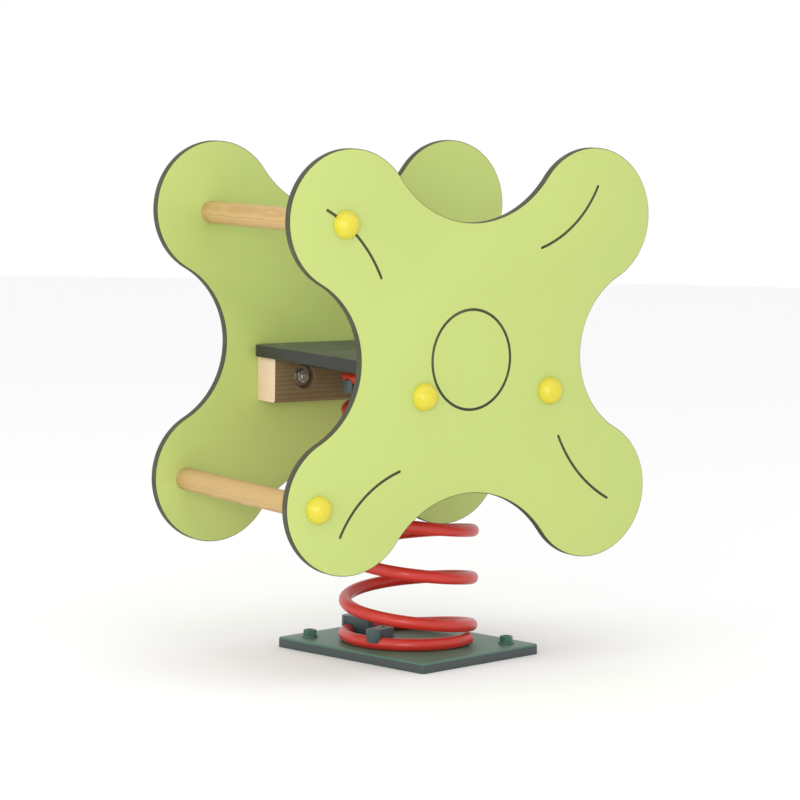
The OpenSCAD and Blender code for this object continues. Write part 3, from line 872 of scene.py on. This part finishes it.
def make_ground_plate(lower_clamps):
    blank = Blank()
    # Slot 1, on the rounded bottom edge and the upright side, takes the painted-shade copy of the plate
    # paint; the top and its bevel keep the lit green.
    slab(blank, PLATE_W, PLATE_D, PLATE_CORNER, PLATE_LOW.z, PLATE_HIGH.z, PLATE_BEVEL, 1 * MM,
         Matrix.Rotation(PLATE_TURN, 4, "Z"), slots=[1, 1, 1, 1, 0, 0, 0])
    plate = make_object("ground_plate", blank.mesh("ground_plate"), [PLATE_GREEN, PLATE_SIDE_SHADE])
    cutter = Blank()
    for place in anchor_places(0):
        turned(cutter, [(ANCHOR_HOLE / 2, -0.01), (ANCHOR_HOLE / 2, 0.05)], place)
    for place in lower_clamps:
        turned(cutter, [(BOLT_D / 2 + 0.1 * MM, -0.05), (BOLT_D / 2 + 0.1 * MM, 0.01)],
               place @ Matrix.Translation((-CLAMP_BOLT_BACK, 0, 0)))
    cut(plate, cutter)
    finish_piece(plate, "ground_frame", ["base_plate"])


def make_anchors():
    washers = Blank()
    nuts = Blank()
    for place in anchor_places(PLATE_HIGH.z):
        washer(washers, 2 * ANCHOR_THREAD + 2 * MM, ANCHOR_THREAD + 0.5 * MM, place)
        seated = place @ Matrix.Translation((0, 0, WASHER_T))
        hex_nut(nuts, ANCHOR_THREAD, 0.85 * ANCHOR_THREAD, seated)
    finish_piece(make_object("anchor_washer_set", washers.mesh("anchor_washers"), [PLATE_GREEN]),
                 "ground_frame", ["anchor_washers"])
    finish_piece(make_object("anchor_nut_set", nuts.mesh("anchor_nuts"), [NUT_GREEN]),
                 "ground_frame", ["anchor_nuts"])


def clamp_block(name, place):
    """A block with a half-hexagon nose, with a round seat for the wire and a bolt hole."""
    flat = CLAMP_W * 0.55 / 2
    chamfer = CLAMP_W / 2 - flat
    outline = [
        (-CLAMP_BACK, -CLAMP_W / 2), (CLAMP_NOSE - chamfer, -CLAMP_W / 2), (CLAMP_NOSE, -flat),
        (CLAMP_NOSE, flat), (CLAMP_NOSE - chamfer, CLAMP_W / 2), (-CLAMP_BACK, CLAMP_W / 2)
    ]
    blank = Blank()
    blank.loft([[(x, y, z) for x, y in outline] for z in (0, CLAMP_H)])
    block = make_object(name, blank.mesh(name), [CLAMP_TEAL])
    cutter = Blank()
    path = []
    for k in range(25):
        a = math.radians(18 - 36 * k / 24)
        out = Vector((math.cos(a), math.sin(a), 0))
        path.append((Vector((-COIL_R, 0, WIRE_R)) + out * COIL_R, out, Vector((0, 0, 1))))
    tube(cutter, path, WIRE_R + 0.2 * MM, 48)
    under = Blank()
    wide = CLAMP_W
    left = -WIRE_R - 0.2 * MM
    under.loft([
        [(left, -wide, z), (0.04, -wide, z), (0.04, wide, z), (left, wide, z)]
        for z in (-0.01, CLAMP_NOSE_UP)
    ])
    hole = Blank()
    bore = BOLT_D / 2 + 0.25 * MM
    turned(hole,
           [(bore, -0.01), (bore, CLAMP_H - CLAMP_HEAD_R + bore),
            (CLAMP_HEAD_R, CLAMP_H), (CLAMP_HEAD_R, 0.05)],
           Matrix.Translation((-CLAMP_BOLT_BACK, 0, 0)))
    cut(block, cutter, under, hole)
    soften(block, 0.7 * MM)
    block.data.transform(place)
    if place.determinant() < 0:
        block.data.flip_normals()
    return block


def make_clamps():
    lower, upper = clamp_places()
    make_ground_plate(lower)
    for body, node_name, bolt_node, grip, places in (
            ("ground_frame", "lower_clamps", "lower_clamp_bolts", PLATE_HIGH.z - 1 * MM, lower),
            ("rocker", "upper_clamps", "upper_clamp_bolts", HEAD_HIGH.z - HEAD_LOW.z - 1 * MM, upper)):
        bolts = Blank()
        for k, place in enumerate(places):
            block = clamp_block(f"{node_name[:-1]}_{k + 1}", place)
            finish_piece(block, body, [node_name])
            head = place @ Matrix.Translation((-CLAMP_BOLT_BACK, 0, CLAMP_H))
            csk_screw(bolts, CLAMP_H + grip, head, CLAMP_HEAD_R, BOLT_D / 2, (4 * MM, 1 * MM), 6 * MM)
        finish_piece(make_object(bolt_node + "_set", bolts.mesh(bolt_node), [CLAMP_TEAL]),
                     body, [bolt_node])


# ---------------------------------------------------------------------------------------
# Spring
# ---------------------------------------------------------------------------------------

def wire_stations(first, last, per_turn=80):
    count = math.ceil((last - first) * per_turn)
    stations = []
    for k in range(count + 1):
        t = first + (last - first) * k / count
        a = coil_angle(t)
        small = 0.001
        climb = math.atan2(coil_z(t + small) - coil_z(t - small), 2 * small * 2 * math.pi * COIL_R)
        out = Vector((math.cos(a), math.sin(a), 0))
        up = Vector((-math.sin(climb) * math.sin(a), math.sin(climb) * math.cos(a), math.cos(climb)))
        stations.append((Vector((COIL_R * out.x, COIL_R * out.y, coil_z(t))), out, up))
    return stations


def make_wire(name, first, last, node_name):
    blank = Blank()
    tube(blank, wire_stations(first, last), WIRE_R, 32)
    piece = make_object(name, blank.mesh(name, sharp=50), [SPRING_RED])
    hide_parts(node_name)
    return piece


def make_spring():
    """The seated ends ride on the plates; the four flexing lengths are made as pieces of their own."""
    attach(make_wire("spring_seated_end", TIP_TURN, FLEX_START, "spring_bottom_coil"), "ground_frame")
    lengths = ["spring_lower_turns", "spring_middle_turns", "spring_upper_turns", "spring_neck_turns"]
    for k, node_name in enumerate(lengths):
        first = FLEX_START + k * FLEX_STEP
        last = first + FLEX_STEP
        piece = make_wire(node_name.replace("turns", "coils"), first, last, node_name)
        margin = 1.3 * WIRE_R
        coil_z(first) + margin
        coil_z(last) - margin
        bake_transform(piece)
    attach(make_wire("spring_head_end", TURNS - FLEX_START, TURNS - TIP_TURN, "spring_top_coil"), "rocker")


# ---------------------------------------------------------------------------------------
# Head plate, beams and seat
# ---------------------------------------------------------------------------------------

def beam_bolt_spots():
    """(x, side) of each beam bolt."""
    return [(BEAM_MID.x + s * BOLT_SPAN / 2, side) for s in (-1, 1) for side in (-1, 1)]


def bolt_z():
    return BEAM_MID.z + BOLT_UP


def csk_cutter(blank, place):
    top = 1 * MM
    turned(blank, [(3.6 * MM, -0.03), (3.6 * MM, -4 * MM), (7.6 * MM, 0), (7.6 * MM, top)], place)


def make_head_plate():
    size = HEAD_HIGH - HEAD_LOW
    blank = Blank()
    slab(blank, size.x, size.y, CORNER_R, HEAD_LOW.z, HEAD_HIGH.z, 0.8 * MM, 0.8 * MM)
    plate = make_object("head_plate_coated", blank.mesh("head_plate"), [HEAD_DARK])
    screw_x = size.x / 2 - HEAD_SCREW_INSET
    inner = BEAM_MID.y - (BEAM_HIGH.y - BEAM_LOW.y) / 2
    screw_y = (inner + HEAD_HIGH.y) / 2
    cutter = Blank()
    screws = Blank()
    for x, y in corners(screw_x, screw_y):
        place = Matrix.Translation((x, y, HEAD_HIGH.z))
        csk_cutter(cutter, place)
        csk_screw(screws, 48 * MM, place)
    for place in clamp_places()[1]:
        turned(cutter, [(BOLT_D / 2 + 0.1 * MM, -0.05), (BOLT_D / 2 + 0.1 * MM, 0.01)],
               place @ Matrix.Translation((-CLAMP_BOLT_BACK, 0, 0)))
    cut(plate, cutter)
    finish_piece(plate, "rocker", ["head_plate"])
    finish_piece(make_object("head_screw_set", screws.mesh("head_screws"), [ZINC]),
                 "rocker", ["head_screws"])


def make_beam(side, node_name):
    """A planed beam with rounded long edges, eased ends, recesses for the nuts and a housing."""
    low, high, middle = span(node_name)
    size = high - low
    ease = 1.5 * MM
    section = [(y, z) for y, z, _ in rounded_rect(size.y, size.z, BEAM_EDGE)]
    loops = []
    rows = [(0, ease), (ease * 0.3, ease * 0.3), (ease, 0)]
    stations = [(low.x + dx, inset) for dx, inset in rows]
    run = 12
    stations += [(low.x + ease + (size.x - 2 * ease) * k / run, 0) for k in range(1, run)]
    stations += [(high.x - dx, inset) for dx, inset in reversed(rows)]
    for x, inset in stations:
        shrink_y = 1 - 2 * inset / size.y
        shrink_z = 1 - 2 * inset / size.z
        loops.append([(x, middle.y + y * shrink_y, middle.z + z * shrink_z) for y, z in section])
    blank = Blank()
    bands = len(loops) - 1
    slots = [1 if k < 1 or k >= bands - 1 else 0 for k in range(bands)]
    blank.loft(loops, slots=slots, caps=(1, 1))
    beam = make_object(f"{node_name}_timber", blank.mesh(node_name), [BEAM_STAIN, BEAM_END])
    cutter = Blank()
    inner_y = middle.y - side * size.y / 2
    for x, bolt_side in beam_bolt_spots():
        if bolt_side != side:
            continue
        outward = Matrix.Rotation(-side * math.pi / 2, 4, "X")
        place = Matrix.Translation((x, inner_y, bolt_z())) @ outward
        turned(cutter, [(RECESS_D / 2 + 0.8 * MM, -0.01), (RECESS_D / 2 + 0.8 * MM, -0.001 * MM),
                        (RECESS_D / 2, 0.8 * MM), (RECESS_D / 2, RECESS_DEPTH),
                        (BOLT_D / 2 + 0.25 * MM, RECESS_DEPTH), (BOLT_D / 2 + 0.25 * MM, 0.08)],
               place)
    head = HEAD_HIGH - HEAD_LOW
    housing = Blank()
    housing.loft([rounded_rect(head.x + 2 * MM, head.y + 2 * MM, CORNER_R, z)
                  for z in (HEAD_LOW.z, HEAD_HIGH.z + 0.01)])
    cut(beam, cutter, housing)
    finish_piece(beam, "rocker", [node_name])


def make_seat():
    size = SEAT_HIGH - SEAT_LOW
    blank = Blank()
    slab(blank, size.x, size.y, CORNER_R, SEAT_LOW.z, SEAT_HIGH.z, 2 * MM, 1 * MM,
         Matrix.Translation((SEAT_MID.x, 0, 0)), slots=[1] * 7)
    seat = make_object("seat_board", blank.mesh("seat_board"), [SEAT_TOP, SEAT_EDGE])
    cutter = Blank()
    screws = Blank()
    screw_x = (BEAM_HIGH.x - BEAM_LOW.x) / 2 - SEAT_SCREW_INSET
    for x, y in corners(screw_x, BEAM_MID.y):
        place = Matrix.Translation((SEAT_MID.x + x, y, SEAT_HIGH.z))
        csk_cutter(cutter, place)
        csk_screw(screws, 55 * MM, place)
    cut(seat, cutter)
    finish_piece(seat, "rocker", ["seat_plate"])
    finish_piece(make_object("seat_screw_set", screws.mesh("seat_screws"), [DULL_ZINC]),
                 "rocker", ["seat_screws"])


# ---------------------------------------------------------------------------------------
# Side panels
# ---------------------------------------------------------------------------------------

def arc(centre, radius, start, end, steps):
    return [
        (centre[0] + radius * math.cos(start + (end - start) * k / steps),
         centre[1] + radius * math.sin(start + (end - start) * k / steps))
        for k in range(steps + 1)
    ]


def panel_outline(grow):
    """Points (x, z) round the panel's centre; grow moves the whole outline outwards."""
    side_c = (LOBE_X ** 2 + LOBE_Z ** 2 - (LOBE_R - WAIST_X) ** 2) / (2 * (LOBE_X + LOBE_R - WAIST_X))
    top_c = (LOBE_X ** 2 + LOBE_Z ** 2 - (LOBE_R - WAIST_Z) ** 2) / (2 * (LOBE_Z + LOBE_R - WAIST_Z))
    to_side = math.atan2(-LOBE_Z, side_c - LOBE_X)
    to_top = math.atan2(top_c - LOBE_Z, -LOBE_X)
    side_r = side_c - WAIST_X - grow
    top_r = top_c - WAIST_Z - grow
    quarter = arc((side_c, 0), side_r, math.pi, to_side + math.pi, 18)
    quarter += arc((LOBE_X, LOBE_Z), LOBE_R + grow, to_side, to_top, 56)[1:]
    quarter += arc((0, top_c), top_r, to_top - math.pi, -math.pi / 2, 18)[1:]
    upper = quarter + [(-x, z) for x, z in reversed(quarter[:-1])]
    return upper + [(x, -z) for x, z in reversed(upper[1:-1])]


def bowed_line(middle, direction, bow, length=126 * MM, steps=28):
    """Centre line of a milled line that bows to the left of its direction."""
    r = ((length / 2) ** 2 + bow ** 2) / (2 * bow)
    half = math.asin(length / 2 / r)
    turn = Matrix.Rotation(math.radians(direction), 2)
    centre = Vector(middle) + turn @ Vector((0, bow / 2 - r))
    points = []
    for k in range(steps + 1):
        a = math.pi / 2 + half - 2 * half * k / steps
        points.append(centre + turn @ Vector((r * math.cos(a), r * math.sin(a))))
    return points


def milled_lines():
    """The oval and the four bowed lines, as (points, closed)."""
    steps = 120
    oval = [
        Vector((64 * MM * math.cos(2 * math.pi * k / steps),
                69 * MM * math.sin(2 * math.pi * k / steps) - OVAL_DOWN))
        for k in range(steps)
    ]
    lines = [(oval, True)]
    for middle, direction, bow in (((-187.5, 164), -47, 10.5), ((166, 187.5), 222, 13)):
        line = bowed_line((middle[0] * MM, middle[1] * MM), direction, bow * MM)
        lines.append((line, False))
        lines.append(([-p for p in line], False))
    return lines


def cap_spots():
    """(x, z) of every cap on a panel."""
    spots = [(HANDLE_MID.x, HANDLE_MID.z), (FOOT_MID.x, FOOT_MID.z)]
    return spots + [(x, bolt_z()) for x, side in beam_bolt_spots() if side > 0]


def make_panel(side, node_name):
    """Laminate with decor faces, a rounded dark edge, milled lines and bolt holes."""
    depth_in = PANEL_IN
    rows = []
    for k in range(4):
        a = math.pi / 2 * k / 3
        rows.append((-PANEL_EDGE * (1 - math.sin(a)), PANEL_EDGE * (1 - math.cos(a))))
    rows += [(grow, PANEL_T - y) for grow, y in reversed(rows)]
    loops = []
    for grow, y in rows:
        loops.append([
            (PANEL_MID.x + x, side * (depth_in + y), PANEL_MID.z + z) for x, z in panel_outline(grow)
        ])
    if side > 0:
        loops.reverse()
    blank = Blank()
    blank.loft(loops, slots=[1] * (len(loops) - 1), caps=(0, 0))
    panel = make_object(f"{node_name}_board", blank.mesh(node_name, sharp=25), [LIME, CORE])
    ball = ((GROOVE_W / 2) ** 2 + GROOVE_DEPTH ** 2) / (2 * GROOVE_DEPTH)
    y_line = side * (depth_in + PANEL_T - GROOVE_DEPTH + ball)
    lines = Blank()
    outward = Vector((0, side, 0))
    for points, closed in milled_lines():
        places = [Vector((PANEL_MID.x + LINES_X + p.x, y_line, PANEL_MID.z + p.y)) for p in points]
        path = []
        for k, here in enumerate(places):
            if closed:
                ahead = places[(k + 1) % len(places)] - places[k - 1]
            else:
                ahead = places[min(k + 1, len(places) - 1)] - places[max(k - 1, 0)]
            across = outward.cross(ahead.normalized())
            path.append((here, across, outward))
        tube(lines, path, ball, 20, closed=closed, round_ends=not closed)
    holes = Blank()
    for x, z in cap_spots():
        place = Matrix.Translation((x, side * depth_in, z)) @ Matrix.Rotation(-side * math.pi / 2, 4, "X")
        turned(holes, [(BOLT_D / 2 + 0.25 * MM, -0.01), (BOLT_D / 2 + 0.25 * MM, PANEL_T + 0.01)], place)
    for cutter in (lines, holes):
        cutter.slots = [1] * len(cutter.faces)
    cut(panel, lines, holes, sharp=25)
    finish_piece(panel, "rocker", [node_name])


# ---------------------------------------------------------------------------------------
# Bars, bolts and caps
# ---------------------------------------------------------------------------------------

def make_bar(name, node_name, middle, material):
    """A turned bar with eased ends and a socket for the threaded sleeve."""
    half = (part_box(node_name)[1].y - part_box(node_name)[0].y) / 2
    ease = 1.2 * MM
    sides = 64
    sleeve = 7 * MM
    depth = 30 * MM
    place = Matrix.Translation((middle.x, 0, middle.z)) @ Matrix.Rotation(-math.pi / 2, 4, "X")
    run = 16
    profile = [(sleeve, -half + depth), (sleeve, -half), (BAR_R - ease, -half),
               (BAR_R - 0.3 * ease, -half + 0.3 * ease), (BAR_R, -half + ease)]
    profile += [(BAR_R, -half + ease + 2 * (half - ease) * k / run) for k in range(1, run)]
    profile += [(r, -z) for r, z in reversed(profile[:5])]
    blank = Blank()
    turned(blank, profile, place, sides)
    bar = make_object(name, blank.mesh(name), [material])
    finish_piece(bar, "rocker", [node_name])


def facing_out(x, y, z, side):
    """A place on a panel with +Z pointing out of the seesaw on that side."""
    return Matrix.Translation((x, side * y, z)) @ Matrix.Rotation(-side * math.pi / 2, 4, "X")


def make_bolts():
    outer = PANEL_IN + PANEL_T + COLLAR_T
    beam_w = BEAM_HIGH.y - BEAM_LOW.y
    bar_screws = Blank()
    beam_bolts = Blank()
    washers = Blank()
    nuts = Blank()
    for side in (-1, 1):
        for middle in (HANDLE_MID, FOOT_MID):
            place = facing_out(middle.x, outer, middle.z, side)
            hex_bolt(bar_screws, BOLT_D, 0.64 * BOLT_D, 29 * MM + PANEL_T + COLLAR_T, place)
    nut_h = 0.85 * BOLT_D
    seat_y = PANEL_IN - (beam_w - RECESS_DEPTH)
    for x, side in beam_bolt_spots():
        place = facing_out(x, outer, bolt_z(), side)
        hex_bolt(beam_bolts, BOLT_D, 0.64 * BOLT_D, beam_w - 1 * MM + PANEL_T + COLLAR_T, place)
        washer(washers, RECESS_D - 4 * MM, BOLT_D + 0.5 * MM,
               facing_out(x, seat_y - WASHER_T, bolt_z(), side))
        hex_nut(nuts, BOLT_D + 0.2 * MM, nut_h, facing_out(x, seat_y - WASHER_T - nut_h, bolt_z(), side))
    for blank, node_name in ((bar_screws, "bar_screws"), (beam_bolts, "beam_bolts"),
                             (washers, "beam_washers"), (nuts, "beam_nuts")):
        finish_piece(make_object(node_name + "_set", blank.mesh(node_name), [ZINC]),
                     "rocker", [node_name])


def make_caps():
    """Collars with a snap lip, and domed caps that are hollow for the screw's head."""
    face = PANEL_IN + PANEL_T
    ball = (CAP_R ** 2 + CAP_H ** 2) / (2 * CAP_H)
    collars = Blank()
    for side, label in ((-1, "left"), (1, "right")):
        domes = Blank()
        for x, z in cap_spots():
            bore = BOLT_D / 2 + 0.25 * MM
            turned_ring(collars, [
                (bore, 0), (CAP_R - 0.2 * MM, 0), (CAP_R, 0.3 * MM), (CAP_R, COLLAR_T - 0.7 * MM),
                (CAP_R - 0.5 * MM, COLLAR_T - 0.4 * MM), (CAP_R - 0.7 * MM, COLLAR_T), (bore, COLLAR_T)
            ], facing_out(x, face, z, side))
            wall = [(12.5 * MM, 8 * MM), (12.5 * MM, 0), (CAP_R - 0.6 * MM, 0), (CAP_R - 0.1 * MM, 0.35 * MM)]
            steps = 16
            start = math.asin((ball - CAP_H + 0.6 * MM) / ball)
            dome = []
            for k in range(steps):
                a = start + (math.pi / 2 - start) * k / steps
                dome.append((ball * math.cos(a), CAP_H - ball + ball * math.sin(a)))
            dome.append((0.2 * MM, CAP_H))
            profile = [(0.2 * MM, 8 * MM)] + wall + dome
            turned(domes, profile, facing_out(x, face + COLLAR_T, z, side), 56)
        finish_piece(make_object(f"cap_set_{label}", domes.mesh(f"cap_domes_{label}", sharp=40), [NYLON]),
                     "rocker", [f"cap_domes_{label}"])
    finish_piece(make_object("cap_collar_set", collars.mesh("cap_collars"), [NYLON]),
                 "rocker", ["cap_collars"])


def dress_hidden_parts():
    """CAD parts whose shape stays as it is get their finish."""
    for node_name, material in (("bar_inserts", BRASS),):
        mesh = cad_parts[node_name].data
        mesh.materials.clear()
        mesh.materials.append(material)


# ---------------------------------------------------------------------------------------
# Studio
# ---------------------------------------------------------------------------------------

def softbox(name, place, aim, size, watts, colour=(1, 1, 1)):
    data = bpy.data.lights.new(name, "AREA")
    data.shape = "DISK"
    data.size = size
    data.energy = watts
    data.color = colour
    light = bpy.data.objects.new(name, data)
    bpy.context.scene.collection.objects.link(light)
    light.location = place
    light.rotation_euler = (Vector(aim) - Vector(place)).to_track_quat("-Z", "Y").to_euler()


def make_studio():
    scene = bpy.context.scene
    scene.view_settings.view_transform = "Standard"
    world = bpy.data.worlds.new("studio")
    world.use_nodes = True
    world.node_tree.nodes["Background"].inputs["Color"].default_value = (1, 1, 1, 1)
    world.node_tree.nodes["Background"].inputs["Strength"].default_value = 1.0
    scene.world = world
    floor = Blank()
    turned(floor, [(8.0, -0.02), (8.0, 0)], sides=96)
    material, tree, shader = new_material("pale_floor", Roughness=0.9, Specular_IOR_Level=0.1)
    toned = use_group(tree, MOTTLE, Colour=(0.94, 0.94, 0.94, 1), Patch_scale=0.8, Patch_depth=0.006,
                      Speck_scale=300.0, Speck_depth=0.006)
    tree.links.new(toned["Colour"], shader["Base Color"])
    make_object("floor", floor.mesh("floor"), [material])
    softbox("key", (-2.4, -3.0, 0.9), (0, 0, 0.4), 1.4, 34)
    softbox("fill", (-3.2, -1.0, 1.2), (0, 0.15, 0.4), 2.0, 14)
    softbox("top", (-0.4, -0.6, 3.6), (0, 0, 0.3), 2.4, 10)


make_camera()
make_clamps()
make_anchors()
make_spring()
make_head_plate()
make_beam(-1, "beam_left")
make_beam(1, "beam_right")
make_seat()
make_panel(-1, "side_panel_left")
make_panel(1, "side_panel_right")
make_bar("handle_bar_turned", "handle_bar", HANDLE_MID, HANDLE_PINE)
make_bar("foot_bar_turned", "foot_bar", FOOT_MID, FOOT_PINE)
make_bolts()
make_caps()
dress_hidden_parts()
make_studio()
